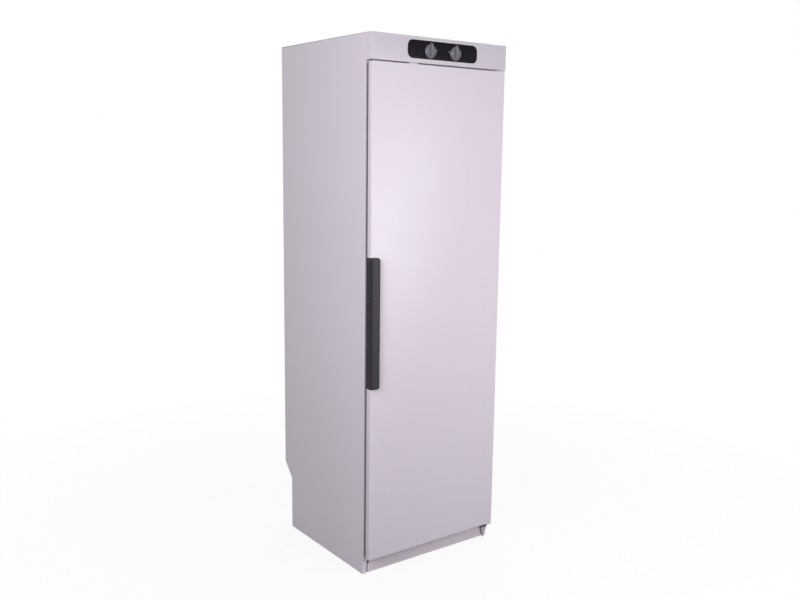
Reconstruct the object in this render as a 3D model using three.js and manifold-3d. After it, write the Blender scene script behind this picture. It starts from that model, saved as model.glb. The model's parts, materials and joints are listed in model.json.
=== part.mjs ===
// A tall drying cabinet for clothes, in millimetres, +Z up.
// The origin is on the floor under the middle of the cabinet.
// The door faces -Y, and +X is the viewer's right.
import * as THREE from 'three';
import { mergeVertices } from 'three/addons/utils/BufferGeometryUtils.js';
import Module from 'manifold-3d';

const wasm = await Module();
wasm.setup();

// ---------------------------------------------------------------- driving dimensions

const WIDTH = 595;
const BODY_DEPTH = 600; // from the face of the door to the back panel
const GRIP_PROUD = 15; // how far the handle and the knobs stand in front of the door's face
const TOP_Z = 1900;
const BASE_Z = 5; // the feet carry the panels this high above the floor

const SHEET = 0.7; // steel sheet
const BEND = 2.5; // outside radius of a folded sheet edge
const BEND_STEPS = 3;
const SEAM = 0.4; // clearance between two fitted sheets
const SLIP = 0.3; // clearance round a pin or a shaft

const HALF = WIDTH / 2;
const FACE_Y = GRIP_PROUD / 2 - BODY_DEPTH / 2;
const BACK_Y = FACE_Y + BODY_DEPTH;
const GRIP_Y = FACE_Y - GRIP_PROUD;

// Carcass: the door stands in front of this plane, with the gasket between them.
const DOOR_THICK = 19;
const GASKET_GAP = 12.5;
const CARCASS_Y = FACE_Y + DOOR_THICK + GASKET_GAP;
const SIDE_FLANGE = 18;
const FRAME_HALF = HALF - SIDE_FLANGE - SEAM;

// The toe at the front and the recess for a skirting board at the back.
const TOE_Y = CARCASS_Y + 5.5;
const TOE_LOW_Z = 25;
const TOE_HIGH_Z = 58;
const RECESS_Y = 256;
const RECESS_LOW_Z = 212;
const RECESS_HIGH_Z = 269;

const FASCIA_Z = 1812.5;
const DOOR_HALF = 295;
const PLINTH_HIGH_Z = 62;
const DOOR_LOW_Z = 68;
const DOOR_HIGH_Z = 1808.8;

// Drying chamber.
const CHAMBER_HALF = 265;
const CHAMBER_LOW_Z = 112;
const CHAMBER_HIGH_Z = 1742;
const LINER_BACK_Y = 228;
const LINER_RETURN = 15;
const RAIL_FLANGE = 25;

// Hanging racks: rods between a bar at the back and a bent frame.
const PIVOT_Y = 200;
const RACK_REACH = 405;
const RACK_HALF = 245;
const RACK_FRAME_R = 4;
const RACK_ROD_R = 2.5;
const RACK_GAPS = 8;
const RACK_CORNER = 25;
const UPPER_RACK_Z = 1610;
const MIDDLE_RACK_Z = 1145;
const LOWER_RACK_Z = 680;

// Fan unit above the chamber.
const FAN_Y = -60;
const FAN_LOW_Z = CHAMBER_HIGH_Z + 10;
const FAN_HIGH_Z = 1832;
const WHEEL_R = 88;
const BLADES = 20;
const BLADE_HALF = 0.6; // half of a blade's thickness
const OUTLET_LEFT_X = 66;
const OUTLET_RIGHT_X = 160;
const OUTLET_END_Y = 90;
const SHAFT_R = 4;

// Exhaust for a 125 mm duct.
const EXHAUST_Y = 150;
const SPIGOT_R = 62.5;
const SPIGOT_HIGH_Z = 1945;

// Control insert and its two knobs.
const INSERT_X = 2.9;
const INSERT_Z = 1857.4;
const INSERT_WIDE = 306.2;
const INSERT_HIGH = 60.9;
const INSERT_CORNER = 20;
const INSERT_PROUD = 1.5;
const KNOB_X = 55.2;
const KNOB_Z = 1853.4;
const KNOB_R = 23.2;
const SPINDLE_R = 3;

// Door hinge, on the viewer's right, and the handle on the left edge.
const HINGE_X = 286;
const HINGE_Y = FACE_Y + 9;
const PIN_R = 3;
const HANDLE_LOW_Z = 702;
const HANDLE_HIGH_Z = 1160;
const HANDLE_WIDE = 34.3;
const SCREW_ROOM = 0.8; // the handle's flange lies this far inside its lip, for the heads of its screws

// ---------------------------------------------------------------- finishes

const FINISH = {
  lacquer: { color: '#dcd4dd', roughness: 0.38, metalness: 0 },
  liner: { color: '#e9e6e8', roughness: 0.42, metalness: 0 },
  wire: { color: '#ecebec', roughness: 0.35, metalness: 0 },
  blackPlastic: { color: '#2b282f', roughness: 0.5, metalness: 0 },
  greyPlastic: { color: '#77727a', roughness: 0.45, metalness: 0 },
  whitePlastic: { color: '#e6e3e4', roughness: 0.5, metalness: 0 },
  zinc: { color: '#b9bcc0', roughness: 0.38, metalness: 0.9 },
  steel: { color: '#8f9296', roughness: 0.3, metalness: 1 },
  rubber: { color: '#46434a', roughness: 0.8, metalness: 0 },
  wool: { color: '#cfc6a8', roughness: 0.95, metalness: 0 },
  heater: { color: '#5f5a58', roughness: 0.45, metalness: 0.8 },
};

// ---------------------------------------------------------------- points and outlines

const vec2 = (x, y) => new THREE.Vector2(x, y);
const vec3 = (x, y, z) => new THREE.Vector3(x, y, z);
const range = (count) => Array.from({ length: count }, (_, i) => i);

// Rounds the corners of a line, or of a closed outline, with arcs of one radius or of one radius each.
function roundCorners(points, radii, steps, closed) {
  const last = points.length - 1;
  return points.flatMap((corner, i) => {
    if (!closed && (i === 0 || i === last)) return [corner.clone()];
    const radius = Array.isArray(radii) ? radii[i] : radii;
    const back = points[(i + last) % points.length].clone().sub(corner).normalize();
    const ahead = points[(i + 1) % points.length].clone().sub(corner).normalize();
    const half = Math.acos(back.dot(ahead)) / 2;
    const middle = back.clone().add(ahead).normalize();
    const centre = corner.clone().addScaledVector(middle, radius / Math.sin(half));
    const start = corner.clone().addScaledVector(back, radius / Math.tan(half)).sub(centre);
    const end = corner.clone().addScaledVector(ahead, radius / Math.tan(half)).sub(centre);
    const turn = Math.PI - 2 * half;
    return range(steps + 1).map((k) => {
      const fromStart = Math.sin((1 - k / steps) * turn) / Math.sin(turn);
      const fromEnd = Math.sin((k / steps) * turn) / Math.sin(turn);
      return centre.clone().addScaledVector(start, fromStart).addScaledVector(end, fromEnd);
    });
  });
}

// Moves a line, or a closed outline, to its own left by a distance, with mitred corners.
function offsetLine(points, distance, closed) {
  const last = points.length - 1;
  const leftOf = (a, b) => {
    const along = b.clone().sub(a).normalize();
    return vec2(-along.y, along.x);
  };
  return points.map((point, i) => {
    const sides = [];
    if (closed || i > 0) sides.push(leftOf(points[(i + last) % points.length], point));
    if (closed || i < last) sides.push(leftOf(point, points[(i + 1) % points.length]));
    const mitre = sides.length === 2 ? 1 + sides[0].dot(sides[1]) : 1;
    return sides.reduce((moved, side) => moved.addScaledVector(side, distance / mitre), point.clone());
  });
}

const rectangle = (x0, y0, x1, y1) => [vec2(x0, y0), vec2(x1, y0), vec2(x1, y1), vec2(x0, y1)];

function roundedRectangle(x0, y0, x1, y1, radius, steps = 4) {
  return roundCorners(rectangle(x0, y0, x1, y1), radius, steps, true);
}

function circle(x, y, radius, sides) {
  return range(sides).map((k) => {
    const angle = (k / sides) * 2 * Math.PI;
    return vec2(x + radius * Math.cos(angle), y + radius * Math.sin(angle));
  });
}

// The section of a bent sheet whose outer face follows the line; the sheet lies to the line's left.
function sheetSection(line, thickness = SHEET, bend = BEND) {
  const outer = roundCorners(line, bend, BEND_STEPS, false);
  const inner = offsetLine(outer, thickness, false);
  return [...outer, ...inner.reverse()];
}

// ---------------------------------------------------------------- closed bodies

// Merges shared corners, drops faces without area and turns the faces outwards.
function closedBody(geometry) {
  const bare = new THREE.BufferGeometry();
  bare.setAttribute('position', geometry.getAttribute('position').clone());
  if (geometry.index) bare.setIndex(geometry.index.clone());
  const merged = mergeVertices(bare, 1e-4);
  const corner = (i) => new THREE.Vector3().fromBufferAttribute(merged.getAttribute('position'), i);
  const faces = [];
  let volume = 0;
  for (let i = 0; i < merged.index.count; i += 3) {
    const face = [0, 1, 2].map((k) => merged.index.getX(i + k));
    if (new Set(face).size < 3) continue;
    const [a, b, c] = face.map(corner);
    volume += a.dot(b.cross(c));
    faces.push(face);
  }
  merged.setIndex(faces.flatMap(([a, b, c]) => (volume < 0 ? [a, c, b] : [a, b, c])));
  return merged;
}

function toSolid(geometry) {
  const body = closedBody(geometry);
  return new wasm.Manifold(new wasm.Mesh({
    numProp: 3,
    vertProperties: body.getAttribute('position').array,
    triVerts: Uint32Array.from(body.index.array),
  }));
}

function fromSolid(solid) {
  const mesh = solid.getMesh();
  const geometry = new THREE.BufferGeometry();
  geometry.setAttribute('position', new THREE.BufferAttribute(mesh.vertProperties, 3));
  geometry.setIndex(new THREE.BufferAttribute(mesh.triVerts, 1));
  return geometry;
}

const join = (...bodies) => fromSolid(bodies.map(toSolid).reduce((sum, body) => sum.add(body)));

function cut(body, ...tools) {
  return fromSolid(tools.map(toSolid).reduce((rest, tool) => rest.subtract(tool), toSolid(body)));
}

// Turns a body drawn in (u, v) with its depth along w so that the depth runs along an axis of the cabinet.
function facing(geometry, axis, direction, at) {
  const columns = {
    x: [vec3(0, 1, 0), vec3(0, 0, 1), vec3(direction, 0, 0), vec3(at, 0, 0)],
    y: [vec3(1, 0, 0), vec3(0, 0, 1), vec3(0, direction, 0), vec3(0, at, 0)],
    z: [vec3(1, 0, 0), vec3(0, 1, 0), vec3(0, 0, direction), vec3(0, 0, at)],
  }[axis];
  const matrix = new THREE.Matrix4().makeBasis(columns[0], columns[1], columns[2]).setPosition(columns[3]);
  return geometry.applyMatrix4(matrix);
}

function prism(outline, axis, from, to, holes = []) {
  const shape = new THREE.Shape(outline);
  shape.holes = holes.map((hole) => new THREE.Path(hole));
  const body = new THREE.ExtrudeGeometry(shape, { depth: to - from, bevelEnabled: false });
  return facing(body, axis, 1, from);
}

function block(low, high) {
  const size = vec3(...high).sub(vec3(...low));
  const middle = vec3(...low).addScaledVector(size, 0.5);
  return new THREE.BoxGeometry(size.x, size.y, size.z).translate(middle.x, middle.y, middle.z);
}

// A profile of (radius, height) points turned about an axis through the centre.
function turned(profile, axis, centre, segments) {
  const body = new THREE.LatheGeometry(profile, segments);
  if (axis === 'z') body.rotateX(Math.PI / 2);
  if (axis === 'x') body.rotateZ(-Math.PI / 2);
  return body.translate(centre.x, centre.y, centre.z);
}

function rod(axis, radius, centre, from, to, sides) {
  const profile = [vec2(0, from), vec2(radius, from), vec2(radius, to), vec2(0, to)];
  return turned(profile, axis, centre, sides);
}

function pipe(axis, inner, outer, centre, from, to, sides) {
  const profile = [...rectangle(inner, from, outer, to), vec2(inner, from)];
  return turned(profile, axis, centre, sides);
}

// The flat end of a loft: triangles that run with the ring, or against it.
function capFaces(ring, withRing) {
  const normal = vec3(0, 0, 0);
  ring.forEach((p, i) => normal.add(p.clone().cross(ring[(i + 1) % ring.length])));
  const u = ring[1].clone().sub(ring[0]).normalize();
  const v = normal.normalize().cross(u);
  const flat = ring.map((p) => vec2(p.dot(u), p.dot(v)));
  const turn = Math.sign(THREE.ShapeUtils.area(flat));
  return THREE.ShapeUtils.triangulateShape(flat, []).map(([a, b, c]) => {
    const same = Math.sign(THREE.ShapeUtils.area([flat[a], flat[b], flat[c]])) === turn;
    return same === withRing ? [a, b, c] : [a, c, b];
  });
}

// Joins rings of equal count into one body, capped at both ends or closed into a loop.
function loft(rings, loop = false) {
  const count = rings[0].length;
  const faces = [];
  range(loop ? rings.length : rings.length - 1).forEach((k) => {
    const a = k * count;
    const b = ((k + 1) % rings.length) * count;
    range(count).forEach((i) => {
      const j = (i + 1) % count;
      faces.push([a + i, a + j, b + j], [a + i, b + j, b + i]);
    });
  });
  if (!loop) {
    const end = (rings.length - 1) * count;
    faces.push(...capFaces(rings[0], false));
    faces.push(...capFaces(rings[rings.length - 1], true).map((face) => face.map((i) => i + end)));
  }
  const coordinates = rings.flat().flatMap((p) => p.toArray());
  const body = new THREE.BufferGeometry();
  body.setAttribute('position', new THREE.Float32BufferAttribute(coordinates, 3));
  body.setIndex(faces.flat());
  return body;
}

function counterClockwise(outline) {
  return THREE.ShapeUtils.isClockWise(outline) ? [...outline].reverse() : outline;
}

// The rings of a rounded edge: from the face, round the bend and on to the side wall.
function bendRings(outline, radius, inset, depth) {
  return range(BEND_STEPS + 1).map((k) => {
    const angle = (k / BEND_STEPS) * (Math.PI / 2);
    const line = offsetLine(outline, inset + radius * (1 - Math.sin(angle)), true);
    return line.map((p) => vec3(p.x, p.y, depth + radius * (1 - Math.cos(angle))));
  });
}

// A sheet folded back all round its outline, and folded in again where it has a lip.
function foldedPan(outline, depth, { bend = BEND, lip = 0 } = {}) {
  const line = counterClockwise(outline);
  const ring = (inset, w) => offsetLine(line, inset, true).map((p) => vec3(p.x, p.y, w));
  const rim = lip > 0
    ? [ring(0, depth), ring(lip, depth), ring(lip, depth - SHEET), ring(SHEET, depth - SHEET)]
    : [ring(0, depth), ring(SHEET, depth)];
  const inside = bendRings(line, bend - SHEET, SHEET, SHEET).reverse();
  return loft([...bendRings(line, bend, 0, 0), ...rim, ...inside]);
}

// A solid plate with a rounded front edge.
function softPlate(outline, depth, bend) {
  const line = counterClockwise(outline);
  return loft([...bendRings(line, bend, 0, 0), line.map((p) => vec3(p.x, p.y, depth))]);
}

// Carries a section along a path with mitred bends; the section's y points along up.
function sweep(section, path, up, loop = false) {
  const last = path.length - 1;
  const heading = (i) => path[(i + 1) % path.length].clone().sub(path[i % path.length]).normalize();
  const slide = (points, along, anchor, normal) => points.map((p) => {
    const reach = anchor.clone().sub(p).dot(normal) / along.dot(normal);
    return p.clone().addScaledVector(along, reach);
  });
  const side = heading(0).cross(up).normalize();
  const level = side.clone().cross(heading(0));
  let ring = section.map((s) => path[0].clone().addScaledVector(side, s.x).addScaledVector(level, s.y));
  const rings = path.map((point, i) => {
    const leaving = i === last && !loop ? heading(i - 1) : heading(i);
    const arriving = i === 0 ? (loop ? heading(last) : leaving) : heading(i - 1);
    const normal = arriving.clone().add(leaving).normalize();
    ring = slide(ring, i === 0 ? leaving : arriving, point, normal);
    return ring;
  });
  return loft(rings, loop);
}

const wire = (path, radius, sides, up) => sweep(circle(0, 0, radius, sides), path, up);

// ---------------------------------------------------------------- scene graph

const X_AXIS = vec3(1, 0, 0);
const Y_AXIS = vec3(0, 1, 0);
const Z_AXIS = vec3(0, 0, 1);
const ORIGIN = vec3(0, 0, 0);
const dryingCabinet = new THREE.Group();

function addPiece(name, geometry, finish, parent = dryingCabinet) {
  const material = new THREE.MeshStandardMaterial({ ...FINISH[finish], flatShading: true });
  const mesh = new THREE.Mesh(closedBody(geometry), material);
  mesh.name = name;
  parent.add(mesh);
  return mesh;
}

function addGroup(x, y, z) {
  const group = new THREE.Group();
  group.position.set(x, y, z);
  dryingCabinet.add(group);
  return group;
}

// ---------------------------------------------------------------- carcass

function sidePanel() {
  const rearY = BACK_Y - SHEET - SEAM;
  const recessY = RECESS_Y - SHEET - SEAM;
  const outline = [
    vec2(TOE_Y, BASE_Z),
    vec2(recessY, BASE_Z),
    vec2(recessY, RECESS_LOW_Z),
    vec2(rearY, RECESS_HIGH_Z),
    vec2(rearY, TOP_Z - SHEET - SEAM),
    vec2(CARCASS_Y, TOP_Z - SHEET - SEAM),
    vec2(CARCASS_Y, TOE_HIGH_Z),
    vec2(TOE_Y, TOE_LOW_Z),
  ];
  return facing(foldedPan(outline, SIDE_FLANGE), 'x', 1, -HALF);
}

function addCarcass() {
  addPiece('left_side_panel', sidePanel(), 'lacquer');
  addPiece('right_side_panel', sidePanel(), 'lacquer').scale.x = -1;
  addPiece('top_cover', topCover(), 'lacquer');
  addPiece('back_panel', backPanel(), 'zinc');
  addPiece('lower_back_panel', lowerBackPanel(), 'zinc');
  addPiece('base_pan', basePan(), 'zinc');
  addPiece('plinth', plinth(), 'lacquer');
  addPiece('front_top_rail', frontRail(CHAMBER_HIGH_Z, DOOR_HIGH_Z + SEAM), 'liner');
  addPiece('front_bottom_rail', frontRail(DOOR_LOW_Z - 0.2, CHAMBER_LOW_Z), 'liner');
}

const GLAND_X = -200;
const GLAND_Y = 245;
const GLAND_R = 10;

function topCover() {
  const spigotHole = circle(0, EXHAUST_Y, SPIGOT_R + 1.2, 24);
  const glandHole = circle(GLAND_X, GLAND_Y, GLAND_R + SLIP, 14);
  const plate = roundedRectangle(-HALF, CARCASS_Y, HALF, BACK_Y, 1.5, 2);
  return prism(plate, 'z', TOP_Z - SHEET, TOP_Z, [spigotHole, glandHole]);
}

const BACK_HALF = HALF - 6;
const BEAD_X = 130;
const BEAD_HALF = 22;
const BEAD_DEEP = 4;

// The sheet has two stiffening beads pressed inwards over its whole height, and louvres at its top.
function backPanel() {
  const bead = (x) => [
    vec2(x + BEAD_HALF, BACK_Y),
    vec2(x + BEAD_HALF - 8, BACK_Y - BEAD_DEEP),
    vec2(x - BEAD_HALF + 8, BACK_Y - BEAD_DEEP),
    vec2(x - BEAD_HALF, BACK_Y),
  ];
  const outer = [vec2(BACK_HALF, BACK_Y), ...bead(BEAD_X), ...bead(-BEAD_X), vec2(-BACK_HALF, BACK_Y)];
  const inner = offsetLine(outer, SHEET, false).reverse();
  const panel = prism([...outer, ...inner], 'z', RECESS_HIGH_Z + 1, TOP_Z - SHEET - SEAM);
  const louvres = range(5).map((k) => {
    const z = 1790 + 16 * k;
    return prism(roundedRectangle(-90, z, 90, z + 6, 2.5, 1), 'y', BACK_Y - 3, BACK_Y + 1);
  });
  return cut(panel, ...louvres);
}

// Follows the side panels' recess, with a lip forward under the upper panel.
function lowerBackPanel() {
  const line = [
    vec2(RECESS_Y, BASE_Z + 1),
    vec2(RECESS_Y, RECESS_LOW_Z),
    vec2(BACK_Y, RECESS_HIGH_Z),
  ];
  return prism(sheetSection(line), 'x', -BACK_HALF, BACK_HALF);
}

const PAN_Z = 32;
const FOOT_X = 245;
const FOOT_FRONT_Y = -200;
const FOOT_BACK_Y = 215;
const FOOT_STEM_R = 5;

function basePan() {
  const half = HALF - BEND;
  const outline = rectangle(-half, TOE_Y + PLINTH_RETURN + 1, half, RECESS_Y - 2 * BEND);
  const pan = facing(foldedPan(outline, 22), 'z', -1, PAN_Z);
  const holes = [-FOOT_X, FOOT_X].flatMap((x) => [FOOT_FRONT_Y, FOOT_BACK_Y].map((y) => (
    rod('z', FOOT_STEM_R + SLIP, vec3(x, y, PAN_Z), -5, 5, 10)
  )));
  return cut(pan, ...holes);
}

const PLINTH_RETURN = 20;
const PLINTH_BEND = 12;

// A U of sheet with wide bends where it meets the side panels.
function plinth() {
  const line = [
    vec2(-FRAME_HALF, TOE_Y + PLINTH_RETURN),
    vec2(-FRAME_HALF, TOE_Y),
    vec2(FRAME_HALF, TOE_Y),
    vec2(FRAME_HALF, TOE_Y + PLINTH_RETURN),
  ];
  return prism(sheetSection(line, SHEET, PLINTH_BEND), 'z', BASE_Z + 1, PLINTH_HIGH_Z);
}

// A C of sheet, open to the back, across the front of the carcass.
function frontRail(lowZ, highZ) {
  const line = [
    vec2(CARCASS_Y + RAIL_FLANGE, lowZ),
    vec2(CARCASS_Y, lowZ),
    vec2(CARCASS_Y, highZ),
    vec2(CARCASS_Y + RAIL_FLANGE, highZ),
  ];
  return prism(sheetSection(line.reverse()), 'x', -FRAME_HALF, FRAME_HALF);
}

// A moulded foot on a threaded stem, with the nut under the base pan fused to it.
function foot() {
  const nutHigh = PAN_Z - SHEET - SLIP;
  const profile = [vec2(0, 0), vec2(20, 0), vec2(22, 2), vec2(22, 6), vec2(13, 10), vec2(0, 10)];
  const stem = rod('z', FOOT_STEM_R, ORIGIN, 5, PAN_Z + 12, 8);
  const nut = prism(circle(0, 0, 9.5, 6), 'z', nutHigh - 8, nutHigh);
  return join(turned(profile, 'z', ORIGIN, 14), stem, nut);
}

function addFeet() {
  const shape = foot();
  [['front', FOOT_FRONT_Y], ['back', FOOT_BACK_Y]].forEach(([row, y]) => {
    [['left', -FOOT_X], ['right', FOOT_X]].forEach(([side, x]) => {
      addPiece(`foot_${row}_${side}`, shape, 'blackPlastic').position.set(x, y, 0);
    });
  });
}

// ---------------------------------------------------------------- drying chamber

// The side liner's front edge turns out and meets the side panel's flange.
function sideLiner() {
  const line = [
    vec2(-FRAME_HALF, CARCASS_Y),
    vec2(-CHAMBER_HALF, CARCASS_Y),
    vec2(-CHAMBER_HALF, LINER_BACK_Y + LINER_RETURN),
  ];
  return prism(sheetSection(line), 'z', CHAMBER_LOW_Z + SEAM, CHAMBER_HIGH_Z - SEAM);
}

// Warm air from the duct behind it enters through two rows of slots near the floor.
function backLiner() {
  const half = CHAMBER_HALF - SEAM;
  const line = [
    vec2(-half, LINER_BACK_Y + LINER_RETURN),
    vec2(-half, LINER_BACK_Y),
    vec2(half, LINER_BACK_Y),
    vec2(half, LINER_BACK_Y + LINER_RETURN),
  ];
  const liner = prism(sheetSection(line), 'z', CHAMBER_LOW_Z + SEAM, CHAMBER_HIGH_Z - SEAM);
  const slots = [190, 230].flatMap((z) => range(6).map((k) => {
    const x = 70 * (k - 2.5);
    const slot = roundedRectangle(x - 26, z, x + 26, z + 9, 3.5, 1);
    return prism(slot, 'y', LINER_BACK_Y - 2, LINER_BACK_Y + 2);
  }));
  return cut(liner, ...slots);
}

function chamberEnd(direction, z, depth) {
  const front = CARCASS_Y + RAIL_FLANGE + SEAM;
  const outline = rectangle(-FRAME_HALF, front, FRAME_HALF, LINER_BACK_Y + LINER_RETURN);
  return facing(foldedPan(outline, depth), 'z', direction, z);
}

// A round field of parallel slots, as a guard in front of an opening.
function slotField(y, radius) {
  const pitch = 20;
  const slotHalf = 5.5;
  const rows = Math.floor(radius / pitch);
  return range(2 * rows + 1).map((k) => {
    const offset = (k - rows) * pitch;
    const half = Math.sqrt(radius * radius - offset * offset);
    const slot = roundedRectangle(-half, y + offset - slotHalf, half, y + offset + slotHalf, 4.4, 1);
    return prism(slot, 'z', CHAMBER_HIGH_Z - 2, CHAMBER_HIGH_Z + 3);
  });
}

function addChamber() {
  addPiece('left_liner', sideLiner(), 'liner');
  addPiece('right_liner', sideLiner(), 'liner').scale.x = -1;
  addPiece('back_liner', backLiner(), 'liner');
  addPiece('chamber_floor', chamberEnd(-1, CHAMBER_LOW_Z, 12), 'liner');
  const ceilingSlots = [...slotField(FAN_Y, 58), ...slotField(EXHAUST_Y, 50)];
  addPiece('chamber_ceiling', cut(chamberEnd(1, CHAMBER_HIGH_Z, 8), ...ceilingSlots), 'liner');
}

// ---------------------------------------------------------------- hanging racks

// The rack's origin is the middle of its back bar. The bar's ends run on into the brackets where it folds.
function rackBody(barHalf) {
  const frame = roundCorners([
    vec3(-RACK_HALF, 0, 0),
    vec3(-RACK_HALF, -RACK_REACH, 0),
    vec3(RACK_HALF, -RACK_REACH, 0),
    vec3(RACK_HALF, 0, 0),
  ], RACK_CORNER, 3, false);
  const pitch = (2 * RACK_HALF) / RACK_GAPS;
  const rods = range(RACK_GAPS - 1).map((k) => {
    const x = -RACK_HALF + (k + 1) * pitch;
    return wire([vec3(x, 0, 0), vec3(x, -RACK_REACH, 0)], RACK_ROD_R, 5, Z_AXIS);
  });
  const bar = rod('x', RACK_FRAME_R, ORIGIN, -barHalf, barHalf, 10);
  return join(wire(frame, RACK_FRAME_R, 8, Z_AXIS), bar, ...rods);
}

const BRACKET_PLATE = 4;
const BRACKET_BOSS = 10.6;
const BRACKET_LEDGE = 24;
const BAR_HALF = CHAMBER_HALF - SEAM - BRACKET_PLATE - 0.5;

// A moulded bracket on the left liner: a blind bearing for the bar and a ledge that stops the rack level.
function rackBracket() {
  const ledgeTop = -RACK_FRAME_R - SLIP;
  const plate = prism(roundedRectangle(-62, -26, 18, 18, 8, 2), 'x', 0, BRACKET_PLATE);
  const boss = rod('x', 10, ORIGIN, 1, BRACKET_BOSS, 14);
  const ledge = block([1, -56, ledgeTop - 4], [BRACKET_LEDGE, -40, ledgeTop]);
  const gusset = prism([vec2(1, ledgeTop - 3), vec2(1, -24), vec2(20, ledgeTop - 3)], 'y', -50, -46);
  const bearing = rod('x', RACK_FRAME_R + SLIP, ORIGIN, BRACKET_PLATE, BRACKET_BOSS + 1, 14);
  return cut(join(plate, boss, ledge, gusset), bearing);
}

// A moulded rail on the left liner that the fixed rack lies in, with a lip that keeps it from sliding.
function rackRail() {
  const ledgeTop = -RACK_FRAME_R - SLIP;
  const section = [
    vec2(0, ledgeTop - 12),
    vec2(2.5, ledgeTop - 12),
    vec2(6, ledgeTop - 2.5),
    vec2(28, ledgeTop - 2.5),
    vec2(28, 1),
    vec2(26, 1),
    vec2(26, ledgeTop),
    vec2(2.5, ledgeTop),
    vec2(2.5, 10),
    vec2(0, 10),
  ];
  return prism(section, 'y', 30 - RACK_REACH, -30);
}

function addRacks() {
  const wallX = CHAMBER_HALF - SEAM;
  const hold = (name, shape, z) => {
    const left = addPiece(`${name}_left`, shape, 'whitePlastic');
    left.position.set(-wallX, PIVOT_Y, z);
    const right = addPiece(`${name}_right`, shape, 'whitePlastic');
    right.position.set(wallX, PIVOT_Y, z);
    right.scale.x = -1;
  };
  addPiece('upper_rack', rackBody(RACK_HALF), 'wire', addGroup(0, PIVOT_Y, UPPER_RACK_Z));
  hold('upper_rack_rail', rackRail(), UPPER_RACK_Z);
  [['middle', MIDDLE_RACK_Z], ['lower', LOWER_RACK_Z]].forEach(([level, z]) => {
    addPiece(`${level}_rack`, rackBody(BAR_HALF), 'wire', addGroup(0, PIVOT_Y, z));
    hold(`${level}_rack_bracket`, rackBracket(), z);
  });
}

// ---------------------------------------------------------------- fan, heater and exhaust

// The scroll widens steadily from its tongue round to the outlet, which leaves towards the back.
function scrollOutline(inset) {
  const tongue = 0.75;
  const tight = WHEEL_R + 10;
  const spiral = range(25).map((k) => {
    const angle = tongue + (k / 24) * (2 * Math.PI - tongue);
    const radius = tight + (OUTLET_RIGHT_X - tight) * ((angle - tongue) / (2 * Math.PI - tongue));
    return vec2(radius * Math.cos(angle), FAN_Y + radius * Math.sin(angle));
  });
  const outlet = [vec2(OUTLET_RIGHT_X, OUTLET_END_Y), vec2(OUTLET_LEFT_X, OUTLET_END_Y)];
  return offsetLine([...spiral, ...outlet], inset, true);
}

function fanHousing() {
  const centre = vec3(0, FAN_Y, 0);
  const shell = prism(scrollOutline(0), 'z', FAN_LOW_Z, FAN_HIGH_Z);
  const hollow = prism(scrollOutline(SHEET), 'z', FAN_LOW_Z + SHEET, FAN_HIGH_Z - SHEET);
  const mouth = block(
    [OUTLET_LEFT_X + SHEET, OUTLET_END_Y - 5, FAN_LOW_Z + SHEET],
    [OUTLET_RIGHT_X - SHEET, OUTLET_END_Y + 5, FAN_HIGH_Z - SHEET],
  );
  const inlet = rod('z', 62, centre, FAN_LOW_Z - 1, FAN_LOW_Z + 2, 24);
  const shaftHole = rod('z', 26, centre, FAN_HIGH_Z - 3, FAN_HIGH_Z + 1, 14);
  const bell = pipe('z', 62, 64, centre, CHAMBER_HIGH_Z + SHEET + SEAM, FAN_LOW_Z + SHEET, 24);
  return join(cut(shell, hollow, mouth, inlet, shaftHole), bell);
}

// Forward-curved blades between an open ring below and a back plate above, round a hub on the shaft.
function fanWheel() {
  const low = FAN_LOW_Z + 6;
  const high = FAN_HIGH_Z - 10;
  const bladeRoot = 71;
  const side = (shift) => range(3).map((k) => {
    const radius = bladeRoot + (k / 2) * (WHEEL_R - bladeRoot - 0.5);
    const lean = 0.14 * (k / 2) ** 2 + shift / radius;
    return vec2(radius * Math.cos(lean), radius * Math.sin(lean));
  });
  const blade = [...side(-BLADE_HALF), ...side(BLADE_HALF).reverse()];
  const blades = range(BLADES).map((k) => (
    prism(blade, 'z', low + 1, high - 0.5).rotateZ((k / BLADES) * 2 * Math.PI)
  ));
  const ring = pipe('z', bladeRoot, WHEEL_R, ORIGIN, low, low + 2, 24);
  const plateProfile = [
    vec2(0, high - 8),
    vec2(20, high - 8),
    vec2(30, high - 2),
    vec2(WHEEL_R, high - 2),
    vec2(WHEEL_R, high),
    vec2(26, high),
    vec2(14, high - 4),
    vec2(14, high + 5),
    vec2(0, high + 5),
  ];
  const bore = rod('z', SHAFT_R + SLIP, ORIGIN, high - 20, high + 10, 10);
  return cut(join(ring, turned(plateProfile, 'z', ORIGIN, 24), ...blades), bore);
}

const MOTOR_SLOTS = 6;

// A shaded pole motor in a vented bell, on its round flange.
function fanMotor() {
  const centre = vec3(0, FAN_Y, 0);
  const seat = FAN_HIGH_Z + SEAM;
  const profile = [
    vec2(0, seat),
    vec2(52, seat),
    vec2(52, seat + 2.5),
    vec2(44, seat + 2.5),
    vec2(41, seat + 12),
    vec2(41, seat + 40),
    vec2(36, seat + 48),
    vec2(14, seat + 50),
    vec2(12, seat + 54),
    vec2(0, seat + 54),
  ];
  const slots = range(MOTOR_SLOTS).map((k) => {
    const slot = block([35, -5, seat + 16], [46, 5, seat + 36]);
    return slot.rotateZ((k / MOTOR_SLOTS) * 2 * Math.PI).translate(0, FAN_Y, 0);
  });
  const bore = rod('z', SHAFT_R + SLIP, centre, seat - 1, seat + 30, 10);
  return cut(turned(profile, 'z', centre, 22), ...slots, bore);
}

const DUCT_END_Y = 300;

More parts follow.
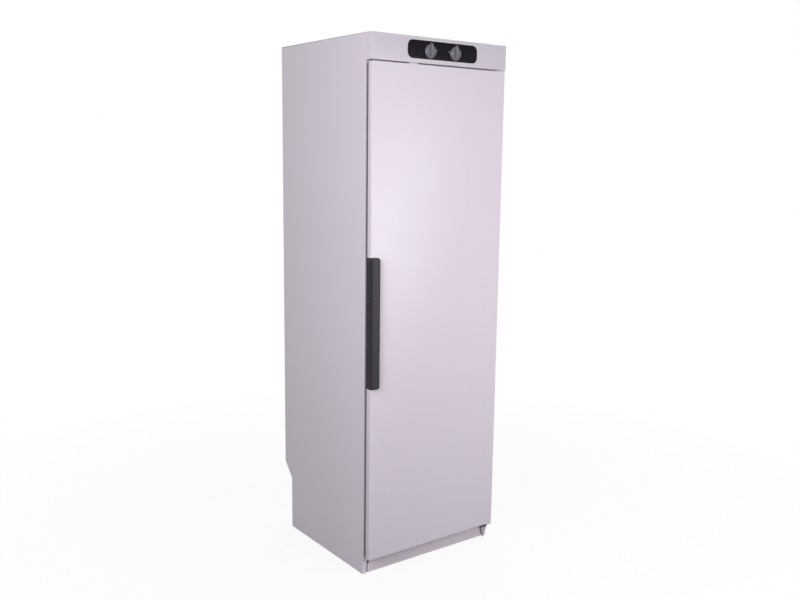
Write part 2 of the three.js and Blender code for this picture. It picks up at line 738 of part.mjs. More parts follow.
// Carries the fan's air over the heater and down behind the back liner.
function heaterDuct() {
  const front = OUTLET_END_Y + SEAM;
  const bottomMouth = LINER_BACK_Y + LINER_RETURN + 4;
  const shell = block([OUTLET_LEFT_X, front, FAN_LOW_Z], [OUTLET_RIGHT_X, DUCT_END_Y, FAN_HIGH_Z]);
  const hollow = block(
    [OUTLET_LEFT_X + SHEET, front - 5, FAN_LOW_Z + SHEET],
    [OUTLET_RIGHT_X - SHEET, DUCT_END_Y - SHEET, FAN_HIGH_Z - SHEET],
  );
  const mouth = block(
    [OUTLET_LEFT_X + SHEET, bottomMouth, FAN_LOW_Z - 5],
    [OUTLET_RIGHT_X - SHEET, DUCT_END_Y - SHEET, FAN_LOW_Z + 5],
  );
  const leadHoles = [HEATER_FIRST_X, HEATER_LAST_X].map((x) => (
    rod('z', HEATER_R + SLIP, vec3(x, HEATER_FRONT_Y, FAN_HIGH_Z), -5, 5, 10)
  ));
  return cut(shell, hollow, mouth, ...leadHoles);
}

const HEATER_R = 4;
const HEATER_FIRST_X = 83;
const HEATER_LAST_X = 143;
const HEATER_FRONT_Y = 112;
const HEATER_BACK_Y = 225;
const HEATER_Z = 1792;

// One tubular element in four passes, with both ends brought out through the top of the duct.
function heatingElement() {
  const pitch = (HEATER_LAST_X - HEATER_FIRST_X) / 3;
  const lead = FAN_HIGH_Z + 12;
  const pass = (k) => {
    const x = HEATER_FIRST_X + k * pitch;
    const ends = [vec3(x, HEATER_FRONT_Y, HEATER_Z), vec3(x, HEATER_BACK_Y, HEATER_Z)];
    return k % 2 === 0 ? ends : ends.reverse();
  };
  const corners = [
    vec3(HEATER_FIRST_X, HEATER_FRONT_Y, lead),
    ...range(4).flatMap(pass),
    vec3(HEATER_LAST_X, HEATER_FRONT_Y, lead),
  ];
  return wire(roundCorners(corners, 9.5, 2, false), HEATER_R, 6, Y_AXIS);
}

// A snap disc in its cup, on the duct above the heater.
function overheatCutout() {
  const seat = FAN_HIGH_Z + SEAM;
  const cup = rod('z', 9, vec3(113, 190, seat), 0, 10, 14);
  const flange = prism(roundedRectangle(97, 184, 129, 196, 3, 2), 'z', seat, seat + 1.5);
  const tabs = [-4, 4].map((x) => block([112.6 + x, 186, seat + 9], [113.4 + x, 194, seat + 17]));
  return join(cup, flange, ...tabs);
}

// The pipe that takes the moist air from the ceiling up into the spigot.
function exhaustDuct() {
  const centre = vec3(0, EXHAUST_Y, 0);
  const seat = CHAMBER_HIGH_Z + SHEET + SEAM;
  const inner = SPIGOT_R - 4;
  const outer = inner + SHEET;
  const profile = [
    vec2(inner, seat),
    vec2(outer + 8, seat),
    vec2(outer + 8, seat + SHEET),
    vec2(outer, seat + SHEET),
    vec2(outer, TOP_Z - 5),
    vec2(inner, TOP_Z - 5),
    vec2(inner, seat),
  ];
  return turned(profile, 'z', centre, 24);
}

// A collar for a flexible duct, with a rolled bead, standing on a flange on the top cover.
function exhaustSpigot() {
  const wall = 1.5;
  const seat = TOP_Z + SEAM;
  const bead = SPIGOT_HIGH_Z - 12;
  const profile = [
    vec2(SPIGOT_R - wall, TOP_Z - 16),
    vec2(SPIGOT_R, TOP_Z - 16),
    vec2(SPIGOT_R, seat),
    vec2(SPIGOT_R + 16, seat),
    vec2(SPIGOT_R + 16, seat + 2),
    vec2(SPIGOT_R, seat + 2),
    vec2(SPIGOT_R, bead - 2.5),
    vec2(SPIGOT_R + 1.8, bead),
    vec2(SPIGOT_R, bead + 2.5),
    vec2(SPIGOT_R, SPIGOT_HIGH_Z),
    vec2(SPIGOT_R - wall, SPIGOT_HIGH_Z),
    vec2(SPIGOT_R - wall, TOP_Z - 16),
  ];
  return turned(profile, 'z', vec3(0, EXHAUST_Y, 0), 24);
}

// The terminal box under the cord gland, with an overlapping lid.
function terminalBox() {
  const seat = CHAMBER_HIGH_Z + SHEET + SEAM;
  const body = softPlate(roundedRectangle(-250, 150, -160, 220, 4, 2), 38, 2);
  const lid = softPlate(roundedRectangle(-252, 148, -158, 222, 5, 2), 8, 2);
  return join(facing(body, 'z', -1, seat + 38), facing(lid, 'z', -1, seat + 44));
}

// A cord gland through the top cover: hexagon, collar and the nut under the cover.
function cordGland() {
  const centre = vec3(GLAND_X, GLAND_Y, 0);
  const under = TOP_Z - SHEET - SEAM;
  const hexagon = circle(GLAND_X, GLAND_Y, 14.5, 6);
  const body = prism(hexagon, 'z', TOP_Z + SEAM, TOP_Z + 6);
  const nut = prism(hexagon, 'z', under - 6, under);
  const dome = [
    vec2(0, TOP_Z + 5),
    vec2(12, TOP_Z + 5),
    vec2(11.5, TOP_Z + 12),
    vec2(8, TOP_Z + 17),
    vec2(0, TOP_Z + 17),
  ];
  const thread = rod('z', GLAND_R, centre, under - 12, TOP_Z + 2, 14);
  const bore = rod('z', 4, centre, under - 20, TOP_Z + 20, 10);
  return cut(join(body, turned(dome, 'z', centre, 14), thread, nut), bore);
}

function addAirUnit() {
  addPiece('fan_housing', fanHousing(), 'zinc');
  addPiece('fan_motor', fanMotor(), 'steel');
  const rotor = addGroup(0, FAN_Y, 0);
  addPiece('fan_wheel', fanWheel(), 'blackPlastic', rotor);
  addPiece('fan_shaft', rod('z', SHAFT_R, ORIGIN, FAN_HIGH_Z - 17, FAN_HIGH_Z + 28, 10), 'steel', rotor);
  addPiece('heater_duct', heaterDuct(), 'zinc');
  addPiece('heating_element', heatingElement(), 'heater');
  addPiece('overheat_cutout', overheatCutout(), 'zinc');
  addPiece('exhaust_duct', exhaustDuct(), 'zinc');
  addPiece('exhaust_spigot', exhaustSpigot(), 'zinc');
  addPiece('terminal_box', terminalBox(), 'greyPlastic');
  addPiece('cord_gland', cordGland(), 'blackPlastic');
}

// ---------------------------------------------------------------- fascia and controls

const insertOutline = (margin) => roundedRectangle(
  INSERT_X - INSERT_WIDE / 2 + margin,
  INSERT_Z - INSERT_HIGH / 2 + margin,
  INSERT_X + INSERT_WIDE / 2 - margin,
  INSERT_Z + INSERT_HIGH / 2 - margin,
  INSERT_CORNER - margin,
  4,
);

function fasciaPanel() {
  const depth = CARCASS_Y - SEAM - FACE_Y;
  const pan = facing(foldedPan(rectangle(-HALF, FASCIA_Z, HALF, TOP_Z), depth), 'y', 1, FACE_Y);
  return cut(pan, prism(insertOutline(3), 'y', FACE_Y - 5, FACE_Y + 5));
}

// A shallow moulded tray: its rim laps over the cut-out and its skirt drops through it.
function controlInsert() {
  const front = FACE_Y - INSERT_PROUD;
  const plate = facing(softPlate(insertOutline(0), INSERT_PROUD - SLIP, 1), 'y', 1, front);
  const skirt = prism(insertOutline(3 + SLIP), 'y', front + 1, FACE_Y + 9, [insertOutline(5.5)]);
  const shaftHoles = [-KNOB_X, KNOB_X].map((x) => rod('y', 7.5, vec3(x, front, KNOB_Z), -5, 5, 16));
  return cut(join(plate, skirt), ...shaftHoles);
}

const BRACKET_FACE_Y = FACE_Y + 15;

// A channel behind the fascia that carries the timer and the temperature selector.
function controlBracket() {
  const front = FACE_Y + SHEET + SEAM;
  const lowZ = KNOB_Z - 31;
  const highZ = KNOB_Z + 38;
  const line = [
    vec2(front, lowZ),
    vec2(BRACKET_FACE_Y, lowZ),
    vec2(BRACKET_FACE_Y, highZ),
    vec2(front, highZ),
  ];
  const channel = prism(sheetSection(line), 'x', INSERT_X - 150, INSERT_X + 150);
  const holes = [-KNOB_X, KNOB_X].map((x) => rod('y', 5, vec3(x, BRACKET_FACE_Y, KNOB_Z), -5, 5, 12));
  return cut(channel, ...holes);
}

const UNIT_FACE_Y = BRACKET_FACE_Y + SEAM;

// The clockwork timer: a square case with a stepped cover and its terminals at the back.
function timerUnit() {
  const square = (half, corner) => roundedRectangle(-half, -half, half, half, corner, 3);
  const spindleBore = rod('y', SPINDLE_R + SLIP, ORIGIN, -1, 14, 10);
  const terminals = [-15, -5, 5, 15].map((x) => block([x - 3.2, 32, 8], [x + 3.2, 42, 8.8]));
  const unit = join(prism(square(23, 3), 'y', 0, 26), prism(square(19, 4), 'y', 25, 34), ...terminals);
  return cut(unit, spindleBore);
}

// The temperature selector: a round switch body on a mounting plate.
function temperatureSelector() {
  const plate = prism(roundedRectangle(-22, -15, 22, 15, 4, 3), 'y', 0, 2);
  const profile = [
    vec2(0, 1),
    vec2(14, 1),
    vec2(14, 6),
    vec2(19, 9),
    vec2(19, 26),
    vec2(16, 29),
    vec2(0, 29),
  ];
  const terminals = [-8, 0, 8].map((x) => block([x - 3.2, 28, -0.4], [x + 3.2, 38, 0.4]));
  const spindleBore = rod('y', SPINDLE_R + SLIP, ORIGIN, -1, 14, 10);
  return cut(join(plate, turned(profile, 'y', ORIGIN, 18), ...terminals), spindleBore);
}

const KNOB_BACK_Y = FACE_Y - INSERT_PROUD - 0.6;
const KNOB_FACE_Y = KNOB_BACK_Y - 8;
const KNOB_DISH = 1.8;

// A tapering body with a dished face and a slim finger grip across it, whose upper end is the pointer.
function knob() {
  const skirt = [
    vec2(0, KNOB_BACK_Y),
    vec2(KNOB_R, KNOB_BACK_Y),
    vec2(KNOB_R, KNOB_BACK_Y - 1.6),
    vec2(KNOB_R - 1, KNOB_BACK_Y - 2.4),
    vec2(KNOB_R - 3, KNOB_FACE_Y + 0.6),
    vec2(KNOB_R - 3.6, KNOB_FACE_Y),
    vec2(KNOB_R - 5.4, KNOB_FACE_Y),
    vec2(KNOB_R - 7.2, KNOB_FACE_Y + KNOB_DISH),
    vec2(0, KNOB_FACE_Y + KNOB_DISH),
  ];
  const grip = (half, tip, tail) => [
    vec2(-half, tip - 7),
    vec2(-1.6, tip),
    vec2(1.6, tip),
    vec2(half, tip - 7),
    vec2(half, tail + 2),
    vec2(half - 2, tail),
    vec2(2 - half, tail),
    vec2(-half, tail + 2),
  ];
  const level = (outline, y) => outline.map((p) => vec3(p.x, y, p.y));
  const bar = loft([
    level(grip(5, 28.4, -18.5), KNOB_BACK_Y - 2),
    level(grip(4.7, 27.8, -18), KNOB_FACE_Y),
    level(grip(3.6, 26, -16.5), GRIP_Y + 1),
    level(grip(2.8, 25.2, -15.7), GRIP_Y),
  ]);
  const hub = rod('y', 6, ORIGIN, KNOB_BACK_Y - 1, FACE_Y + 12, 14);
  const bore = rod('y', SPINDLE_R + SLIP, ORIGIN, GRIP_Y + 4, FACE_Y + 20, 10);
  return cut(join(turned(skirt, 'y', ORIGIN, 22), bar, hub), bore);
}

// The switch that stops the fan when the door opens; it senses the magnet in the door's tongue.
function doorSwitch() {
  const front = CARCASS_Y + SHEET + SEAM;
  const body = softPlate(roundedRectangle(-137, 1772, -110, 1804, 3, 2), 9, 1.5);
  return facing(body, 'y', -1, front + 9);
}

function addControls() {
  addPiece('fascia_panel', fasciaPanel(), 'lacquer');
  addPiece('control_insert', controlInsert(), 'blackPlastic');
  addPiece('control_bracket', controlBracket(), 'zinc');
  addPiece('timer_unit', timerUnit(), 'whitePlastic').position.set(-KNOB_X, UNIT_FACE_Y, KNOB_Z);
  const selector = addPiece('temperature_selector', temperatureSelector(), 'blackPlastic');
  selector.position.set(KNOB_X, UNIT_FACE_Y, KNOB_Z);
  addPiece('door_switch', doorSwitch(), 'whitePlastic');
  const knobShape = knob();
  const spindle = rod('y', SPINDLE_R, ORIGIN, GRIP_Y + 4.5, UNIT_FACE_Y + 13.5, 8);
  [['timer', -KNOB_X], ['temperature', KNOB_X]].forEach(([name, x]) => {
    const group = addGroup(x, 0, KNOB_Z);
    addPiece(`${name}_knob`, knobShape, 'greyPlastic', group);
    addPiece(`${name}_spindle`, spindle, 'steel', group);
  });
}

// ---------------------------------------------------------------- door

const DOOR_BACK_Y = FACE_Y + DOOR_THICK;
const DOOR_LIP = 12;
const DOOR_BEND = 3.5;
const INNER_HALF = DOOR_HALF - DOOR_LIP - SEAM;
const INNER_LOW_Z = DOOR_LOW_Z + DOOR_LIP + SEAM;
const INNER_HIGH_Z = DOOR_HIGH_Z - DOOR_LIP - SEAM;
const BUSH_R = 4.8;

function doorOuterPanel() {
  const outline = roundedRectangle(-DOOR_HALF, DOOR_LOW_Z, DOOR_HALF, DOOR_HIGH_Z, 6, 2);
  const pan = facing(foldedPan(outline, DOOR_THICK, { bend: DOOR_BEND, lip: DOOR_LIP }), 'y', 1, FACE_Y);
  const bushHoles = [DOOR_LOW_Z, DOOR_HIGH_Z].map((z) => (
    rod('z', BUSH_R + SLIP, vec3(HINGE_X, HINGE_Y, z), -5, 5, 14)
  ));
  return cut(pan, ...bushHoles);
}

function doorInnerPanel() {
  const outline = rectangle(-INNER_HALF, INNER_LOW_Z, INNER_HALF, INNER_HIGH_Z);
  return facing(foldedPan(outline, 9), 'y', -1, DOOR_BACK_Y);
}

function doorInsulation() {
  return block(
    [BEND - INNER_HALF, FACE_Y + SHEET + SEAM, INNER_LOW_Z + BEND],
    [INNER_HALF - BEND, DOOR_BACK_Y - SHEET - SEAM, INNER_HIGH_Z - BEND],
  );
}

// A soft bulb on a flat foot, run close to the door's edges, but short of the pin on the hinge side.
function doorGasket() {
  const foot = 6.5;
  const centreY = DOOR_BACK_Y + SEAM;
  const left = foot - DOOR_HALF;
  const right = HINGE_X - foot;
  const low = DOOR_LOW_Z + foot + 1;
  const high = DOOR_HIGH_Z - foot - 1;
  const path = roundCorners([
    vec3(left, centreY, low),
    vec3(right, centreY, low),
    vec3(right, centreY, high),
    vec3(left, centreY, high),
  ], 12, 3, true);
  const tall = GASKET_GAP - SEAM - SLIP;
  const edge = [
    vec2(foot, 0),
    vec2(foot, 1.6),
    vec2(5.4, 2.2),
    vec2(6.4, tall - 2.2),
    vec2(5.2, tall - 0.6),
    vec2(3.4, tall),
  ];
  const section = [...edge, ...edge.map((p) => vec2(-p.x, p.y)).reverse()];
  return sweep(section, path, Y_AXIS, true);
}

// A strip wrapped round the door's left edge: the lip stands off the door for the fingers, and a
// flange runs back along the door's side.
function doorHandle() {
  const left = -HALF;
  const right = left + HANDLE_WIDE;
  const corners = rectangle(left, HANDLE_LOW_Z, right, HANDLE_HIGH_Z);
  const outline = roundCorners(corners, [3.5, 10, 10, 3.5], 4, true);
  const shell = facing(softPlate(outline, GRIP_PROUD - SLIP, 3), 'y', 1, GRIP_Y);
  const fingers = roundedRectangle(GRIP_Y + 3.5, HANDLE_LOW_Z + 4, FACE_Y + 30, HANDLE_HIGH_Z - 4, 2, 2);
  const hollow = prism(fingers, 'x', left + 4, right + 5);
  const flange = prism(
    roundedRectangle(FACE_Y - 3, HANDLE_LOW_Z, DOOR_BACK_Y + 1.5, HANDLE_HIGH_Z, 2.5, 3),
    'x',
    left + SCREW_ROOM,
    -DOOR_HALF - SLIP,
  );
  return join(cut(shell, hollow), flange);
}

// A moulded block in the corner of the door with the bearing sleeve for the hinge pin; z is up the sleeve.
function hingeBush() {
  const seat = block([HINGE_X - 17, FACE_Y + 3.5, -11], [HINGE_X + 5, DOOR_BACK_Y - 1.6, -2.4]);
  const sleeve = rod('z', BUSH_R, vec3(HINGE_X, HINGE_Y, 0), -5, -0.3, 14);
  return cut(join(seat, sleeve), rod('z', PIN_R + SLIP, vec3(HINGE_X, HINGE_Y, 0), -10, 1, 14));
}

// A white tongue on the door's top edge that holds the switch magnet.
function switchTongue() {
  const outline = roundedRectangle(-137, FACE_Y + 5, -101, CARCASS_Y - 3, 3, 3);
  return prism(outline, 'z', DOOR_HIGH_Z + SLIP, DOOR_HIGH_Z + 3);
}

const GLOVE_LOOPS = 4;
const GLOVE_PITCH = 104;
const GLOVE_REACH = vec3(0, 18, 105);
const GLOVE_RAIL_HALF = 218;
const GLOVE_DROP = 30;

// Wire loops on a rail, on which wet gloves and mittens are pulled.
function gloveRack() {
  const rail = [
    vec3(-GLOVE_RAIL_HALF, -16, -GLOVE_DROP),
    vec3(-GLOVE_RAIL_HALF, 0, -GLOVE_DROP),
    vec3(-GLOVE_RAIL_HALF, 0, 0),
    vec3(GLOVE_RAIL_HALF, 0, 0),
    vec3(GLOVE_RAIL_HALF, 0, -GLOVE_DROP),
    vec3(GLOVE_RAIL_HALF, -16, -GLOVE_DROP),
  ];
  const foot = (x) => vec3(x, 0, 0);
  const corners = [foot(-22), foot(-22).add(GLOVE_REACH), foot(22).add(GLOVE_REACH), foot(22)];
  const loop = roundCorners(corners, 19, 2, false);
  const up = X_AXIS.clone().cross(GLOVE_REACH).negate();
  const hooks = range(GLOVE_LOOPS).map((k) => (
    wire(loop, 2, 5, up).translate(GLOVE_PITCH * (k - (GLOVE_LOOPS - 1) / 2), 0, 0)
  ));
  const discs = [-GLOVE_RAIL_HALF, GLOVE_RAIL_HALF].map((x) => (
    rod('y', 8, vec3(x, 0, -GLOVE_DROP), -17.5, -15, 10)
  ));
  return join(wire(roundCorners(rail, 8, 2, false), 2.5, 6, X_AXIS), ...hooks, ...discs);
}

// A plate that reaches forward from the carcass, with the hinge pin riveted through it.
function hingeBracket() {
  const inside = FRAME_HALF - SEAM;
  const outline = [
    vec2(HINGE_X + 9, CARCASS_Y - 2),
    vec2(HINGE_X + 9, FACE_Y + 4),
    vec2(HINGE_X + 6, FACE_Y + 1),
    vec2(HINGE_X - 10, FACE_Y + 1),
    vec2(inside - 36, CARCASS_Y + 4),
    vec2(inside - 36, CARCASS_Y + 34),
    vec2(inside, CARCASS_Y + 34),
    vec2(inside, CARCASS_Y - 2),
  ];
  const pin = rod('z', PIN_R, vec3(HINGE_X, HINGE_Y, 0), -9, 2, 12);
  return join(prism(outline, 'z', 0, 2.8), pin);
}

function addDoor() {
  addPiece('door_outer_panel', doorOuterPanel(), 'lacquer');
  addPiece('door_inner_panel', doorInnerPanel(), 'liner');
  addPiece('door_insulation', doorInsulation(), 'wool');
  addPiece('door_gasket', doorGasket(), 'rubber');
  addPiece('door_handle', doorHandle(), 'blackPlastic');
  addPiece('upper_hinge_bush', hingeBush(), 'whitePlastic').position.z = DOOR_HIGH_Z;
  const lowerBush = addPiece('lower_hinge_bush', hingeBush(), 'whitePlastic');
  lowerBush.position.z = DOOR_LOW_Z;
  lowerBush.scale.z = -1;
  addPiece('door_switch_tongue', switchTongue(), 'whitePlastic');
  addPiece('upper_glove_rack', gloveRack(), 'wire').position.set(0, DOOR_BACK_Y + 18, 1260);
  addPiece('lower_glove_rack', gloveRack(), 'wire').position.set(0, DOOR_BACK_Y + 18, 830);
  addPiece('upper_hinge_bracket', hingeBracket(), 'lacquer').position.z = DOOR_HIGH_Z + 0.5;
  const lowerBracket = addPiece('lower_hinge_bracket', hingeBracket(), 'lacquer');
  lowerBracket.position.z = DOOR_LOW_Z - 0.6;
  lowerBracket.scale.z = -1;
}

addCarcass();
addFeet();
addChamber();
addRacks();
addAirUnit();
addControls();
addDoor();

export default dryingCabinet;
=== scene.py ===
"""The looks of a white drying cabinet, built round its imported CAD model, in metres."""
import json
import math

import bmesh
import bpy
from mathutils import Matrix, Vector


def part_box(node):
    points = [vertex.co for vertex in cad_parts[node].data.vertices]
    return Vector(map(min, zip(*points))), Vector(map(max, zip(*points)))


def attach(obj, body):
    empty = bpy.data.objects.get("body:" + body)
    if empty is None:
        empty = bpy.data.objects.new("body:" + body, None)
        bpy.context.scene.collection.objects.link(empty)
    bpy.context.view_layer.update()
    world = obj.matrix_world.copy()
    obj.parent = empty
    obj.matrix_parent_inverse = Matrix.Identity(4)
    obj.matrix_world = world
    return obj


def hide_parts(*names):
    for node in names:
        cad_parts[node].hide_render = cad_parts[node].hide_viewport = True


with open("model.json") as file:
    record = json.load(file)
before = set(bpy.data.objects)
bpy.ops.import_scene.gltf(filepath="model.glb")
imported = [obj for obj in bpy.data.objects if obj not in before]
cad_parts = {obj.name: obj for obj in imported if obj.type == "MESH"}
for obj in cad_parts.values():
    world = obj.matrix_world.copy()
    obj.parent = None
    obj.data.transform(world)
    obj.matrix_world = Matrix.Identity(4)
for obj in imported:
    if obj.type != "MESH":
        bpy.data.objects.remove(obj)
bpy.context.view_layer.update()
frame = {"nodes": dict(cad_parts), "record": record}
NODES = frame["nodes"]
MM = 0.001

# ---------------------------------------------------------------- camera

PHOTO_WIDTH = 800
FOCAL_PIXELS = 876.73
SENSOR = 36.0
VIEW_REACH = 60
CAMERA_AT = Vector((-1.9651, -2.7165, 1.5044))
CAMERA_AZIMUTH = math.radians(36.529)
CAMERA_DOWN = math.radians(9.388)
CAMERA_ROLL = math.radians(0.713)


def make_camera():
    """Stands where the photograph was taken from, found from the cabinet's straight edges."""
    ahead = Vector((
        math.sin(CAMERA_AZIMUTH) * math.cos(CAMERA_DOWN),
        math.cos(CAMERA_AZIMUTH) * math.cos(CAMERA_DOWN),
        -math.sin(CAMERA_DOWN),
    ))
    level = ahead.cross(Vector((0, 0, 1))).normalized()
    above = level.cross(ahead)
    right = math.cos(CAMERA_ROLL) * level + math.sin(CAMERA_ROLL) * above
    up = math.cos(CAMERA_ROLL) * above - math.sin(CAMERA_ROLL) * level
    data = bpy.data.cameras.new("camera")
    data.sensor_width = SENSOR
    data.lens = FOCAL_PIXELS * SENSOR / PHOTO_WIDTH
    data.clip_end = VIEW_REACH
    camera = bpy.data.objects.new("camera", data)
    bpy.context.scene.collection.objects.link(camera)
    turn = Matrix((right, up, -ahead)).transposed().to_4x4()
    camera.matrix_world = Matrix.Translation(CAMERA_AT) @ turn
    bpy.context.scene.camera = camera


# ---------------------------------------------------------------- node helpers


class Shader:
    """A material with its nodes, laid over the object's own coordinates in metres."""

    def __init__(self, name):
        self.material = bpy.data.materials.new(name)
        self.material.use_nodes = True
        self.tree = self.material.node_tree
        self.surface = self.tree.nodes["Principled BSDF"]
        self.place = self.tree.nodes.new("ShaderNodeTexCoord").outputs["Object"]

    def add(self, kind, inputs=None, **settings):
        node = self.tree.nodes.new(kind)
        for key, value in settings.items():
            setattr(node, key, value)
        for socket, value in (inputs or {}).items():
            if isinstance(value, bpy.types.NodeSocket):
                self.tree.links.new(value, node.inputs[socket])
            else:
                node.inputs[socket].default_value = value
        return node

    def set(self, socket, value):
        """Sets one of the shader's own sockets, or links it."""
        if isinstance(value, bpy.types.NodeSocket):
            self.tree.links.new(value, self.surface.inputs[socket])
        else:
            self.surface.inputs[socket].default_value = value

    def noise(self, scale, detail=2.0, stretch=(1, 1, 1)):
        """A noise of so many lumps to the metre, from 0 to 1."""
        spread = self.add("ShaderNodeMapping", {"Vector": self.place, "Scale": stretch})
        inputs = {"Vector": spread.outputs[0], "Scale": scale, "Detail": detail}
        return self.add("ShaderNodeTexNoise", inputs).outputs["Fac"]

    def cells(self, scale):
        """A mosaic of so many cells to the metre, each with its own random grey."""
        inputs = {"Vector": self.place, "Scale": scale}
        voronoi = self.add("ShaderNodeTexVoronoi", inputs)
        return self.add("ShaderNodeSeparateColor", {"Color": voronoi.outputs["Color"]}).outputs[0]

    def between(self, factor, low, high):
        """A number that runs from low to high as the factor runs over the middle of its range."""
        inputs = {"Value": factor, 1: 0.3, 2: 0.7, 3: low, 4: high}
        return self.add("ShaderNodeMapRange", inputs).outputs[0]

    def mixed(self, factor, first, second):
        """A colour between two."""
        ramp = self.add("ShaderNodeValToRGB", {"Fac": factor})
        ramp.color_ramp.elements[0].position = 0.3
        ramp.color_ramp.elements[1].position = 0.7
        ramp.color_ramp.elements[0].color = (*first, 1)
        ramp.color_ramp.elements[1].color = (*second, 1)
        return ramp.outputs["Color"]

    def painted_side_shade(self, color, ends):
        """A colour with another one on the faces that look along X: painted light and shade, a tone for
        faces the lamps light differently.
        """
        normal = self.add("ShaderNodeTexCoord").outputs["Normal"]
        along = self.add("ShaderNodeSeparateXYZ", {"Vector": normal}).outputs["X"]
        share = self.add("ShaderNodeMath", {0: along}, operation="ABSOLUTE").outputs[0]
        mix = self.add("ShaderNodeMixRGB", {"Fac": share, "Color1": color, "Color2": (*ends, 1)})
        return mix.outputs["Color"]

    def bump(self, *layers):
        """Stacks bumps: each layer is a height from 0 to 1 and its depth in metres."""
        normal = None
        for height, depth in layers:
            inputs = {"Height": height, "Distance": depth, "Strength": 1.0}
            if normal is not None:
                inputs["Normal"] = normal
            normal = self.add("ShaderNodeBump", inputs).outputs[0]
        self.set("Normal", normal)


def srgb(red, green, blue):
    """A colour written as 0 to 255 on a screen, as the shader wants it."""
    def linear(value):
        share = value / 255
        return share / 12.92 if share <= 0.04045 else ((share + 0.055) / 1.055) ** 2.4
    return linear(red), linear(green), linear(blue)


def scaled(color, factor):
    return tuple(min(1.0, part * factor) for part in color)


# ---------------------------------------------------------------- materials

WHITE = srgb(229, 219, 232)
ORANGE_PEEL = 0.014 * MM
LINER_PEEL = 0.02 * MM
SHEET_WAVES = 0.8 * MM
FINE_GRAIN = 0.025 * MM
COARSE_GRAIN = 0.04 * MM
SPANGLE_ROUGHNESS = 0.1  # on top of each zinc crystal's own


def lacquer(name, color, roughness, peel=ORANGE_PEEL, ends=None):
    """Powder lacquer on sheet steel: a fine orange peel over the sheet's slight waviness."""
    shader = Shader(name)
    cloud = shader.noise(2.2, 3.0)
    coat = shader.mixed(cloud, scaled(color, 0.985), scaled(color, 1.01))
    # painted shade: the faces that look along X take the ends' tone
    if ends:
        coat = shader.painted_side_shade(coat, ends)
    shader.set("Base Color", coat)
    patches = shader.noise(9.0, 4.0)
    shader.set("Roughness", shader.between(patches, roughness - 0.03, roughness + 0.04))
    shader.bump(
        (shader.noise(1.6, 1.0), SHEET_WAVES),
        (shader.noise(330.0, 2.0), peel),
    )
    return shader.material


def coated_wire():
    """A thick dipped coating that has run a little before it set."""
    shader = Shader("coated_wire")
    color = srgb(232, 229, 233)
    shader.set("Base Color", shader.mixed(shader.noise(14.0, 3.0), scaled(color, 0.95), color))
    shader.set("Roughness", shader.between(shader.noise(60.0), 0.25, 0.38))
    shader.bump((shader.noise(120.0, 2.0), 0.12 * MM))
    return shader.material


def zinc_sheet():
    """Hot-dipped zinc: a mosaic of crystals, each reflecting a little differently."""
    shader = Shader("zinc_sheet")
    spangle = shader.cells(95.0)
    dull = shader.noise(5.0, 5.0)
    shade = shader.mixed(spangle, (0.50, 0.51, 0.53), (0.57, 0.58, 0.60))
    shader.set("Base Color", shade)
    shader.set("Metallic", 0.85)
    crystal = shader.between(spangle, 0.38, 0.44)
    rough = shader.add("ShaderNodeMath", {0: crystal, 1: SPANGLE_ROUGHNESS}, operation="ADD").outputs[0]
    tarnish = shader.add("ShaderNodeMath", {0: dull, 1: 0.12, 2: rough}, operation="MULTIPLY_ADD")
    shader.set("Roughness", tarnish.outputs[0])
    shader.bump((spangle, 0.01 * MM), (shader.noise(420.0), 0.02 * MM))
    return shader.material


def bright_steel():
    """Turned steel, with its fine tool marks across the height."""
    shader = Shader("bright_steel")
    marks = shader.noise(60.0, 6.0, (1, 1, 40))
    shader.set("Base Color", shader.mixed(marks, (0.44, 0.44, 0.45), (0.58, 0.58, 0.59)))
    shader.set("Metallic", 1.0)
    shader.set("Roughness", shader.between(marks, 0.22, 0.38))
    shader.bump((marks, 0.02 * MM))
    return shader.material


def black_steel():
    """Screws with a phosphate black that has worn a little at the edges."""
    shader = Shader("black_steel")
    wear = shader.noise(500.0, 4.0)
    shader.set("Base Color", shader.mixed(wear, (0.06, 0.058, 0.064), (0.17, 0.166, 0.176)))
    shader.set("Metallic", 0.7)
    shader.set("Roughness", shader.between(wear, 0.38, 0.52))
    shader.bump((wear, 0.02 * MM))
    return shader.material


def heated_steel():
    """Element tube with the brown and blue tints of heat."""
    shader = Shader("heated_steel")
    tint = shader.noise(45.0, 4.0)
    shader.set("Base Color", shader.mixed(tint, (0.12, 0.085, 0.06), (0.11, 0.12, 0.17)))
    shader.set("Metallic", 0.9)
    shader.set("Roughness", shader.between(shader.noise(300.0), 0.32, 0.5))
    shader.bump((shader.noise(700.0), 0.02 * MM))
    return shader.material


def moulded(name, color, roughness, specular=0.5, grain=FINE_GRAIN, ends=None):
    """Moulded plastic with the spark-eroded grain of its tool and faint handling marks."""
    shader = Shader(name)
    shader.set("Specular IOR Level", specular)
    cloud = shader.noise(11.0, 4.0)
    tone = shader.mixed(cloud, scaled(color, 0.93), scaled(color, 1.07))
    # painted shade: the faces that look along X take the ends' tone
    if ends:
        tone = shader.painted_side_shade(tone, ends)
    shader.set("Base Color", tone)
    handled = shader.noise(35.0, 5.0)
    shader.set("Roughness", shader.between(handled, roughness - 0.05, roughness + 0.06))
    shader.bump((shader.noise(1500.0, 3.0), grain))
    return shader.material


def soft_rubber():
    """Extruded seal: dull, with the die's fine lines along it and a little dust."""
    shader = Shader("soft_rubber")
    color = srgb(122, 113, 125)
    dust = shader.noise(25.0, 5.0)
    shader.set("Base Color", shader.mixed(dust, scaled(color, 0.9), scaled(color, 1.04)))
    shader.set("Roughness", shader.between(shader.noise(200.0), 0.55, 0.75))
    shader.bump((shader.noise(900.0, 3.0), 0.03 * MM))
    return shader.material


def mineral_wool():
    """Bonded wool: fibres in every direction over soft lumps."""
    shader = Shader("mineral_wool")
    fibre = shader.noise(260.0, 8.0, (1, 4, 1))
    shader.set("Base Color", shader.mixed(fibre, srgb(182, 168, 122), srgb(226, 217, 182)))
    shader.set("Roughness", 0.95)
    shader.bump((shader.noise(40.0), 1.5 * MM), (fibre, 0.6 * MM))
    return shader.material


